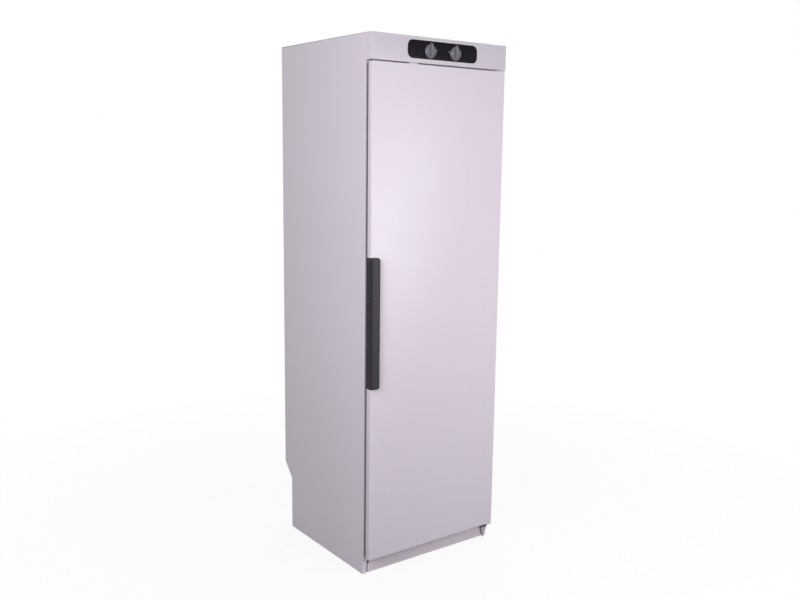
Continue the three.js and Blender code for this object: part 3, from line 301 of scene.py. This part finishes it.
def printed(name, color):
    """Matt ink on plastic, slightly uneven where the screen laid it thin."""
    shader = Shader(name)
    shader.set("Base Color", shader.mixed(shader.noise(900.0, 3.0), scaled(color, 0.88), color))
    shader.set("Roughness", 0.6)
    shader.bump((shader.noise(1800.0), 0.01 * MM))
    return shader.material


MATERIALS = {
    "white_lacquer": lacquer("white_lacquer_coat", WHITE, 0.40),
    "white_liner": lacquer("liner_coat", srgb(229, 222, 231), 0.46, LINER_PEEL),
    "white_wire": coated_wire(),
    "zinc_steel": zinc_sheet(),
    "bare_steel": bright_steel(),
    "heater_steel": heated_steel(),
    "black_plastic": moulded("black_moulding", srgb(30, 27, 34), 0.45, 0.3),
    "grey_plastic": moulded("grey_moulding", srgb(108, 103, 114), 0.40),
    "white_plastic": moulded("white_moulding", srgb(228, 225, 229), 0.45),
    "grey_rubber": soft_rubber(),
    "mineral_wool": mineral_wool(),
}
# The handle's sides take a darker tone than its front: painted shade on the faces turned from the
# lamps.
HANDLE_SIDE_PAINTED_SHADE = srgb(47, 44, 53)
OWN_FINISH = {
    # The fascia's face takes a darker tone than its returns, which keep the body's white: painted
    # shade.
    "fascia_panel": lacquer("fascia_coat_painted_shade", srgb(210, 201, 213), 0.42, ends=WHITE),
    "control_insert": moulded("insert_moulding", srgb(18, 15, 22), 0.45, 0.07),
    # The plinth's coat is darker than the body's white: painted shade from the door's overhang.
    "plinth": lacquer("plinth_coat_painted_shade", srgb(219, 208, 220), 0.42),
    "door_handle": moulded("handle_moulding", srgb(66, 63, 72), 0.5, 0.12, COARSE_GRAIN, HANDLE_SIDE_PAINTED_SHADE),
}

# ---------------------------------------------------------------- the CAD nodes

SMOOTH_ANGLE = math.radians(34)
WELD_REACH = 0.01 * MM


def dress_nodes():
    """Gives every CAD node its finish, and shades its round faces smooth."""
    slots = {row["node"]: row["material_slot"] for row in frame["record"]["subparts"]}
    for name, node in NODES.items():
        mesh = node.data
        mesh.materials.clear()
        mesh.materials.append(OWN_FINISH.get(name) or MATERIALS[slots[name]])
        for attribute in ("custom_normal", "sharp_edge", "sharp_face"):
            if attribute in mesh.attributes:
                mesh.attributes.remove(mesh.attributes[attribute])
        weld = node.modifiers.new("weld", "WELD")
        weld.merge_threshold = WELD_REACH
        split = node.modifiers.new("split", "EDGE_SPLIT")
        split.split_angle = SMOOTH_ANGLE


# ---------------------------------------------------------------- building pieces


def make_piece(name, form, body, slot, finish=None):
    """Turns a bmesh into a piece that rides on a body and takes a slot's finish, or its own."""
    bmesh.ops.recalc_face_normals(form, faces=form.faces)
    mesh = bpy.data.meshes.new(name)
    form.to_mesh(mesh)
    form.free()
    mesh.materials.append(finish or MATERIALS[slot])
    mesh.shade_smooth()
    piece = bpy.data.objects.new(name, mesh)
    bpy.context.scene.collection.objects.link(piece)
    split = piece.modifiers.new("split", "EDGE_SPLIT")
    split.split_angle = SMOOTH_ANGLE
    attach(piece, body)
    return piece


def facing(axis, at):
    """A matrix that stands a form drawn up +Z on a point, pointing along an axis."""
    turn = Vector((0, 0, 1)).rotation_difference(Vector(axis))
    return Matrix.Translation(at) @ turn.to_matrix().to_4x4()


def add_rings(form, rings, matrix, loop=False):
    """Joins rings of equally many points, or single points at the ends, into one skin."""
    rows = [[form.verts.new(matrix @ Vector(point)) for point in ring] for ring in rings]
    after_rows = rows[1:] + rows[:1] if loop else rows[1:]
    for low, high in zip(rows, after_rows):
        count = max(len(low), len(high))
        for k in range(count):
            after = (k + 1) % count
            corners = [
                low[k % len(low)], low[after % len(low)],
                high[after % len(high)], high[k % len(high)],
            ]
            form.faces.new(list(dict.fromkeys(corners)))


def add_slab(form, corners, push):
    """Adds a flat outline of points, given depth by a push."""
    low = [form.verts.new(corner) for corner in corners]
    high = [form.verts.new(Vector(corner) + Vector(push)) for corner in corners]
    form.faces.new(low)
    form.faces.new(high)
    for k in range(len(low)):
        after = (k + 1) % len(low)
        form.faces.new([low[k], low[after], high[after], high[k]])


SCREW_SIDES = 24
SCREW_RADIUS = 3.4 * MM
SMALL_SCREW_RADIUS = 3 * MM
SCREW_PROUD = 1.2 * MM


def round_ring(radius, height):
    turns = [2 * math.pi * k / SCREW_SIDES for k in range(SCREW_SIDES)]
    return [(radius * math.cos(a), radius * math.sin(a), height) for a in turns]


NEARLY_ZERO = 1e-6


def cross_ring(reach, height):
    """The outline of a cross recess, whose arms are a quarter as wide as the whole cross."""
    ring = []
    for x, y, _ in round_ring(1.0, height):
        along = reach / max(abs(x), abs(y))
        across = reach / 4 / max(min(abs(x), abs(y)), NEARLY_ZERO)
        distance = min(along, across)
        ring.append((distance * x, distance * y, height))
    return ring


def add_screw(form, at, axis, radius, proud):
    """A pan head standing on a surface, with a cross recess sunk into it."""
    seat = -0.2 * proud
    floor = 0.35 * proud
    rings = [
        [(0, 0, seat)],
        round_ring(radius, seat),
        round_ring(radius, 0.35 * proud),
        round_ring(0.93 * radius, 0.75 * proud),
        round_ring(0.72 * radius, proud),
        cross_ring(0.52 * radius, proud),
        cross_ring(0.45 * radius, floor),
        [(0, 0, floor)],
    ]
    add_rings(form, rings, facing(axis, at))


def add_screws(name, places, body, radius=SCREW_RADIUS, proud=SCREW_PROUD, finish=None):
    """One piece for all the screws of a part: each place is a point and the way the head faces."""
    form = bmesh.new()
    for at, axis in places:
        add_screw(form, Vector(at), axis, radius, proud)
    make_piece(name, form, body, "bare_steel", finish)


# ---------------------------------------------------------------- the door's small parts

HANDLE_SCREWS_Z = (1.1486, 1.0128, 0.862, 0.729)
HANDLE_SCREW_Y = -0.2815
HANDLE_SCREW_PROUD = 0.6 * MM
HANDLE_LIP = 0.8 * MM  # the flange lies this far inside the lip


def handle_screws():
    """Four screws through the handle's flange into the door's side."""
    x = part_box("door_handle")[0].x + HANDLE_LIP
    places = [((x, HANDLE_SCREW_Y, z), (-1, 0, 0)) for z in HANDLE_SCREWS_Z]
    finish = black_steel()
    add_screws("handle_screws", places, "door", SMALL_SCREW_RADIUS, HANDLE_SCREW_PROUD, finish)


SEAL_CORNER = 6.8 * MM
SEAL_CORNER_STEPS = 8
# Half the seal's width in mm, and the share of its height.
SEAL_FOOT = [(6.5, 0), (6.5, 0.075), (6.1, 0.105)]
SEAL_BELLOWS = [
    (3.5, 0.115), (2.9, 0.15), (3.1, 0.24), (4.3, 0.30), (4.9, 0.36),
    (4.9, 0.40), (4.3, 0.46), (3.3, 0.51), (3.1, 0.56), (3.6, 0.60),
]
SEAL_POCKET = [
    (5.2, 0.62), (5.8, 0.66), (6.0, 0.72), (6.0, 0.88), (5.8, 0.94), (5.3, 0.98), (4.6, 1.0),
]


def door_seal():
    """The magnetic seal: foot, soft bellows and the magnet's pocket, in one round-cornered loop."""
    low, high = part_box("door_gasket")
    tall = high.y - low.y
    side = SEAL_FOOT + SEAL_BELLOWS + SEAL_POCKET
    right = [(half * MM, share * tall) for half, share in side]
    section = right + [(-x, y) for x, y in reversed(right)]
    inset = right[0][0] + SEAL_CORNER
    centres = [
        (high.x - inset, high.z - inset), (low.x + inset, high.z - inset),
        (low.x + inset, low.z + inset), (high.x - inset, low.z + inset),
    ]
    rings = []
    for quarter, (x, z) in enumerate(centres):
        for k in range(SEAL_CORNER_STEPS + 1):
            turn = (quarter + k / SEAL_CORNER_STEPS) * math.pi / 2
            ring = []
            for out, up in section:
                reach = SEAL_CORNER + out
                ring.append((x + reach * math.cos(turn), low.y + up, z + reach * math.sin(turn)))
            rings.append(ring)
    form = bmesh.new()
    add_rings(form, rings, Matrix.Identity(4), loop=True)
    seal = make_piece("door_seal", form, "door", "grey_rubber")
    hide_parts("door_gasket")


# ---------------------------------------------------------------- marks beside the knobs

MARK_Z = 1.8580
MARK_HALF = 6 * MM
MARK_BASE_X = 32 * MM
MARK_TIP_X = 21.8 * MM
INK_THICK = 0.06 * MM


def insert_marks():
    """A printed triangle beside each knob, pointing to the middle of the insert."""
    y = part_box("control_insert")[0].y
    ink = printed("insert_print", srgb(78, 74, 82))
    form = bmesh.new()
    for side in (-1, 1):
        base_x = side * MARK_BASE_X
        corners = [
            (base_x, y, MARK_Z - MARK_HALF),
            (side * MARK_TIP_X, y, MARK_Z),
            (base_x, y, MARK_Z + MARK_HALF),
        ]
        add_slab(form, corners, (0, -INK_THICK, 0))
    make_piece("insert_marks", form, "cabinet", "grey_plastic", ink)


# ---------------------------------------------------------------- below the door

TRIM_HALF = 3 * MM
TRIM_PROUD = 2 * MM
TRIM_INSIDE = 8.4 * MM  # from the plinth's end to the middle of the strip
TRIM_FOOT = 2 * MM  # from the plinth's lower edge to the strip's
TRIM_TOP_Z = 42 * MM
TRIM_STEPS = 8


def plinth_trims():
    """A slim rounded edge strip near each end of the plinth's face."""
    low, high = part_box("plinth")
    turns = [math.pi * k / TRIM_STEPS for k in range(TRIM_STEPS + 1)]
    foot = low.z + TRIM_FOOT
    form = bmesh.new()
    for x in (low.x + TRIM_INSIDE, high.x - TRIM_INSIDE):
        section = [
            (x - TRIM_HALF * math.cos(turn), low.y - TRIM_PROUD * math.sin(turn)) for turn in turns
        ]
        rings = [[(*point, z) for point in section] for z in (foot, TRIM_TOP_Z)]
        rings = [[(x, low.y, foot)], *rings, [(x, low.y, TRIM_TOP_Z)]]
        add_rings(form, rings, Matrix.Identity(4))
    make_piece("plinth_trims", form, "cabinet", "white_lacquer")


# A black dot of painted shade under the door's corner:
SHADE_DOT_AT = (-0.2746, 0.0475)
SHADE_DOT_RADIUS = 4.3 * MM
SHADE_DOT_HIGH = 4.6 * MM
SHADE_DOT_SEAT = -0.3 * MM


def plinth_shade_dot():
    """A small black dome in the plinth's corner, under the door's free edge: painted shade where the
    door's corner shades the gap.
    """
    rings = [
        [(0, 0, SHADE_DOT_SEAT)],
        round_ring(SHADE_DOT_RADIUS, SHADE_DOT_SEAT),
        round_ring(SHADE_DOT_RADIUS, 0.7 * SHADE_DOT_HIGH),
        round_ring(0.85 * SHADE_DOT_RADIUS, 0.95 * SHADE_DOT_HIGH),
        round_ring(0.5 * SHADE_DOT_RADIUS, SHADE_DOT_HIGH),
        [(0, 0, 0.95 * SHADE_DOT_HIGH)],
    ]
    form = bmesh.new()
    at = (SHADE_DOT_AT[0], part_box("plinth")[0].y, SHADE_DOT_AT[1])
    add_rings(form, rings, facing((0, -1, 0), at))
    make_piece("plinth_shade_dot", form, "cabinet", "black_plastic")


SUPPORT_THICK = 2 * MM
SUPPORT_WIDE = 28.5 * MM
SUPPORT_FOOT = 6.5 * MM
SUPPORT_FOOT_INSIDE = 14 * MM
SUPPORT_LOW_Z = 4 * MM
SUPPORT_STRAIGHT = 24 * MM
SUPPORT_BEVEL = 0.3 * MM
BRACKET_GAP = 0.2 * MM  # between the support and the hinge bracket over it
PANEL_GAP = 0.1 * MM  # between the support and the panel behind it
# A dark block of painted shade under the hinge:
SHADE_BLOCK_WIDE = 26.5 * MM
SHADE_BLOCK_HIGH = 18 * MM
SHADE_BLOCK_INSIDE = 2.5 * MM
SHADE_BLOCK_SLANT = 3 * MM
SHADE_BLOCK_THICK = 6 * MM
SHADE_BLOCK_BEVEL = 1.5 * MM
SHADE_BLOCK_BEVEL_STEPS = 3


def support_head():
    """The support's upper right corner: just under the hinge bracket, on the panel's front edge."""
    bracket_low, bracket_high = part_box("lower_hinge_bracket")
    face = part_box("right_side_panel")[0].y - PANEL_GAP
    return bracket_high.x, face, bracket_low.z - BRACKET_GAP


def hinge_support():
    """The support under the lower hinge: a plate that narrows to its foot."""
    edge, face, top = support_head()
    foot = edge - SUPPORT_FOOT_INSIDE
    corners = [
        (edge - SUPPORT_WIDE, face, top),
        (edge, face, top),
        (edge, face, top - SUPPORT_STRAIGHT),
        (foot, face, SUPPORT_LOW_Z),
        (foot - SUPPORT_FOOT, face, SUPPORT_LOW_Z),
    ]
    form = bmesh.new()
    add_slab(form, corners, (0, -SUPPORT_THICK, 0))
    # The support's coat is greyer than the body's white; part of that is painted shade from the door
    # and hinge above it.
    coat = lacquer("support_coat_painted_shade", srgb(188, 180, 192), 0.42)
    support = make_piece("hinge_support", form, "cabinet", "white_lacquer", coat)
    support.modifiers.new("bevel", "BEVEL").width = SUPPORT_BEVEL


def hinge_shade_block():
    """A dark block on the support's head, under the door: painted shade where the door and hinge shade
    the support.
    """
    edge, face, top = support_head()
    right = edge - SHADE_BLOCK_INSIDE
    left = right - SHADE_BLOCK_WIDE
    low = top - SHADE_BLOCK_HIGH
    front = face - SUPPORT_THICK
    corners = [
        (left, front, top),
        (right, front, top),
        (right, front, low),
        (left + SHADE_BLOCK_SLANT, front, low),
    ]
    form = bmesh.new()
    add_slab(form, corners, (0, -SHADE_BLOCK_THICK, 0))
    moulding = moulded("shade_block_moulding", srgb(112, 104, 116), 0.5, 0.2)
    block = make_piece("hinge_shade_block", form, "cabinet", "grey_plastic", moulding)
    bevel = block.modifiers.new("bevel", "BEVEL")
    bevel.width = SHADE_BLOCK_BEVEL
    bevel.segments = SHADE_BLOCK_BEVEL_STEPS


# ---------------------------------------------------------------- the cabinet's screws

COVER_SCREWS_X = (-0.288, 0.288)
COVER_SCREWS_Y = (-0.22, 0.02, 0.27)
BACK_BEAD_DEEP = 4 * MM
BACK_SCREWS_X = (-0.13, 0.13)
BACK_SCREWS_Z = (0.29, 0.69, 1.09, 1.49, 1.87)
LOWER_BACK_Y = 0.256
LOWER_BACK_SCREWS_X = (-0.275, 0, 0.275)
LOWER_BACK_SCREWS_Z = (0.03, 0.195)
LINER_SCREWS_X = (-0.25, 0.25)
LINER_SCREWS_Z = (0.13, 0.53, 0.93, 1.33, 1.725)
FAN_Y = -0.06
EXHAUST_Y = 0.15
SPIGOT_FLANGE_Z = 1.9024
SPIGOT_SCREW_RING = 71 * MM
GRILLE_SCREW_RING = 74 * MM
PIPE_SCREW_RING = 66 * MM
BRACKET_FACE_X = 260.6 * MM
RAIL_FACE_X = 262.1 * MM
FOLDING_RACKS_Z = (0.68, 1.145)
BRACKET_SCREWS = [(0.148, 9 * MM), (0.178, -19 * MM)]  # depth, and height over the rack's pivot
RAIL_SCREWS_Y = (-0.15, 0, 0.15)
RAIL_SCREW_Z = 1.6165


def screw_circle(ring, y, z, axis):
    """Four places on a circle round a point on the cabinet's middle plane."""
    turns = [math.radians(45 + 90 * k) for k in range(4)]
    return [((ring * math.cos(a), ring * math.sin(a) + y, z), axis) for a in turns]


def casing_screws():
    """The heads in the top cover, the two back panels and the spigot's flange."""
    up, back = (0, 0, 1), (0, 1, 0)
    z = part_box("top_cover")[1].z
    places = [((x, y, z), up) for x in COVER_SCREWS_X for y in COVER_SCREWS_Y]
    add_screws("top_cover_screws", places, "cabinet")

    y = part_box("back_panel")[1].y - BACK_BEAD_DEEP
    places = [((x, y, z), back) for x in BACK_SCREWS_X for z in BACK_SCREWS_Z]
    add_screws("back_panel_screws", places, "cabinet")

    places = [
        ((x, LOWER_BACK_Y, z), back) for x in LOWER_BACK_SCREWS_X for z in LOWER_BACK_SCREWS_Z
    ]
    add_screws("lower_back_screws", places, "cabinet")

    places = screw_circle(SPIGOT_SCREW_RING, EXHAUST_Y, SPIGOT_FLANGE_Z, up)
    add_screws("spigot_screws", places, "cabinet", SMALL_SCREW_RADIUS)


def chamber_screws():
    """The heads in the chamber's ceiling and back, and in the racks' brackets and rails."""
    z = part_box("chamber_ceiling")[0].z
    down, ahead = (0, 0, -1), (0, -1, 0)
    places = screw_circle(GRILLE_SCREW_RING, FAN_Y, z, down)
    places += screw_circle(PIPE_SCREW_RING, EXHAUST_Y, z, down)
    add_screws("ceiling_screws", places, "cabinet")

    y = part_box("back_liner")[0].y
    places = [((x, y, z), ahead) for x in LINER_SCREWS_X for z in LINER_SCREWS_Z]
    add_screws("back_liner_screws", places, "cabinet")

    places = []
    for side in (-1, 1):
        inward = (-side, 0, 0)
        for level in FOLDING_RACKS_Z:
            for y, over in BRACKET_SCREWS:
                places.append(((side * BRACKET_FACE_X, y, level + over), inward))
        for y in RAIL_SCREWS_Y:
            places.append(((side * RAIL_FACE_X, y, RAIL_SCREW_Z), inward))
    add_screws("rack_screws", places, "cabinet", SMALL_SCREW_RADIUS)


# ---------------------------------------------------------------- stage and light

FLOOR_COLOR = (0.9, 0.9, 0.9)
FLOOR_GLOW = (0.90, 1.0)  # the share of plain white in the floor's look, near the cabinet and far off
GLOW_REACH = (0.5, 2.6)
FLOOR_REACH = 30
FLOOR_BOUNCE = (0.12, 0.12, 0.12)


def looking_rays(tree):
    """1 for a ray that looks at things: the camera's, a reflection's or one through glass."""
    rays = tree.nodes.new("ShaderNodeLightPath")
    found = rays.outputs["Is Camera Ray"]
    for kind in ("Is Glossy Ray", "Is Transmission Ray"):
        either = tree.nodes.new("ShaderNodeMath")
        either.operation = "MAXIMUM"
        tree.links.new(found, either.inputs[0])
        tree.links.new(rays.outputs[kind], either.inputs[1])
        found = either.outputs[0]
    return found


def make_floor():
    """A floor that looks white but for soft shadow, and is plain grey to the light it sends back."""
    shader = Shader("floor_white")
    far = shader.add("ShaderNodeVectorMath", {0: shader.place}, operation="LENGTH")
    near, away = GLOW_REACH
    dim, plain = FLOOR_GLOW
    inputs = {"Value": far.outputs["Value"], 1: near, 2: away, 3: dim, 4: plain}
    share = shader.add("ShaderNodeMapRange", inputs, interpolation_type="SMOOTHSTEP")
    lit = shader.add("ShaderNodeBsdfDiffuse", {"Color": (*FLOOR_COLOR, 1)})
    glow = shader.add("ShaderNodeEmission")
    seen = shader.add("ShaderNodeMixShader", {
        0: share.outputs[0], 1: lit.outputs[0], 2: glow.outputs[0],
    })
    bounce = shader.add("ShaderNodeBsdfDiffuse", {"Color": (*FLOOR_BOUNCE, 1)})
    pick = shader.add("ShaderNodeMixShader", {
        0: looking_rays(shader.tree), 1: bounce.outputs[0], 2: seen.outputs[0],
    })
    shader.tree.links.new(pick.outputs[0], shader.tree.nodes["Material Output"].inputs[0])
    shader.tree.nodes.remove(shader.surface)
    corners = [(FLOOR_REACH * x, FLOOR_REACH * y, 0) for x, y in ((-1, -1), (1, -1), (1, 1), (-1, 1))]
    mesh = bpy.data.meshes.new("floor")
    mesh.from_pydata(corners, [], [(0, 1, 2, 3)])
    mesh.materials.append(shader.material)
    floor = bpy.data.objects.new("floor", mesh)
    bpy.context.scene.collection.objects.link(floor)


AMBIENT = (0.3, 0.3, 0.3)


def make_world():
    """White behind everything, and a dimmer even light on the object."""
    world = bpy.data.worlds.new("studio")
    bpy.context.scene.world = world
    world.use_nodes = True
    nodes, links = world.node_tree.nodes, world.node_tree.links
    even = nodes["Background"]
    even.inputs["Color"].default_value = (*AMBIENT, 1)
    white = nodes.new("ShaderNodeBackground")
    white.inputs["Color"].default_value = (1, 1, 1, 1)
    pick = nodes.new("ShaderNodeMixShader")
    links.new(looking_rays(world.node_tree), pick.inputs[0])
    links.new(even.outputs[0], pick.inputs[1])
    links.new(white.outputs[0], pick.inputs[2])
    links.new(pick.outputs[0], nodes["World Output"].inputs[0])


def area_light(name, at, target, size, power):
    """A square lamp turned to a target, with its size in metres and its power in watts."""
    data = bpy.data.lights.new(name, "AREA")
    data.shape = "SQUARE"
    data.size = size
    data.energy = power
    light = bpy.data.objects.new(name, data)
    bpy.context.scene.collection.objects.link(light)
    away = Vector(at) - Vector(target)
    light.matrix_world = Matrix.Translation(at) @ away.to_track_quat("Z", "Y").to_matrix().to_4x4()


def make_lights():
    """Large soft lamps: a key at the left, one in front, and two for the far sides and the top."""
    middle = (0, 0, 1.1)
    area_light("key", (-2.45, -1.45, 1.95), middle, 1.3, 43)
    area_light("front", (0.9, -2.4, 1.2), middle, 1.2, 31)
    area_light("back", (2.6, 2.7, 2.0), middle, 2.0, 28)
    area_light("top", (0.7, 0.9, 3.6), (0, 0, 1.9), 1.4, 18)


# ---------------------------------------------------------------- the scene

bpy.context.scene.view_settings.view_transform = "Standard"
make_camera()
make_world()
make_lights()
make_floor()
dress_nodes()
handle_screws()
door_seal()
insert_marks()
plinth_trims()
plinth_shade_dot()
hinge_support()
hinge_shade_block()
casing_screws()
chamber_screws()
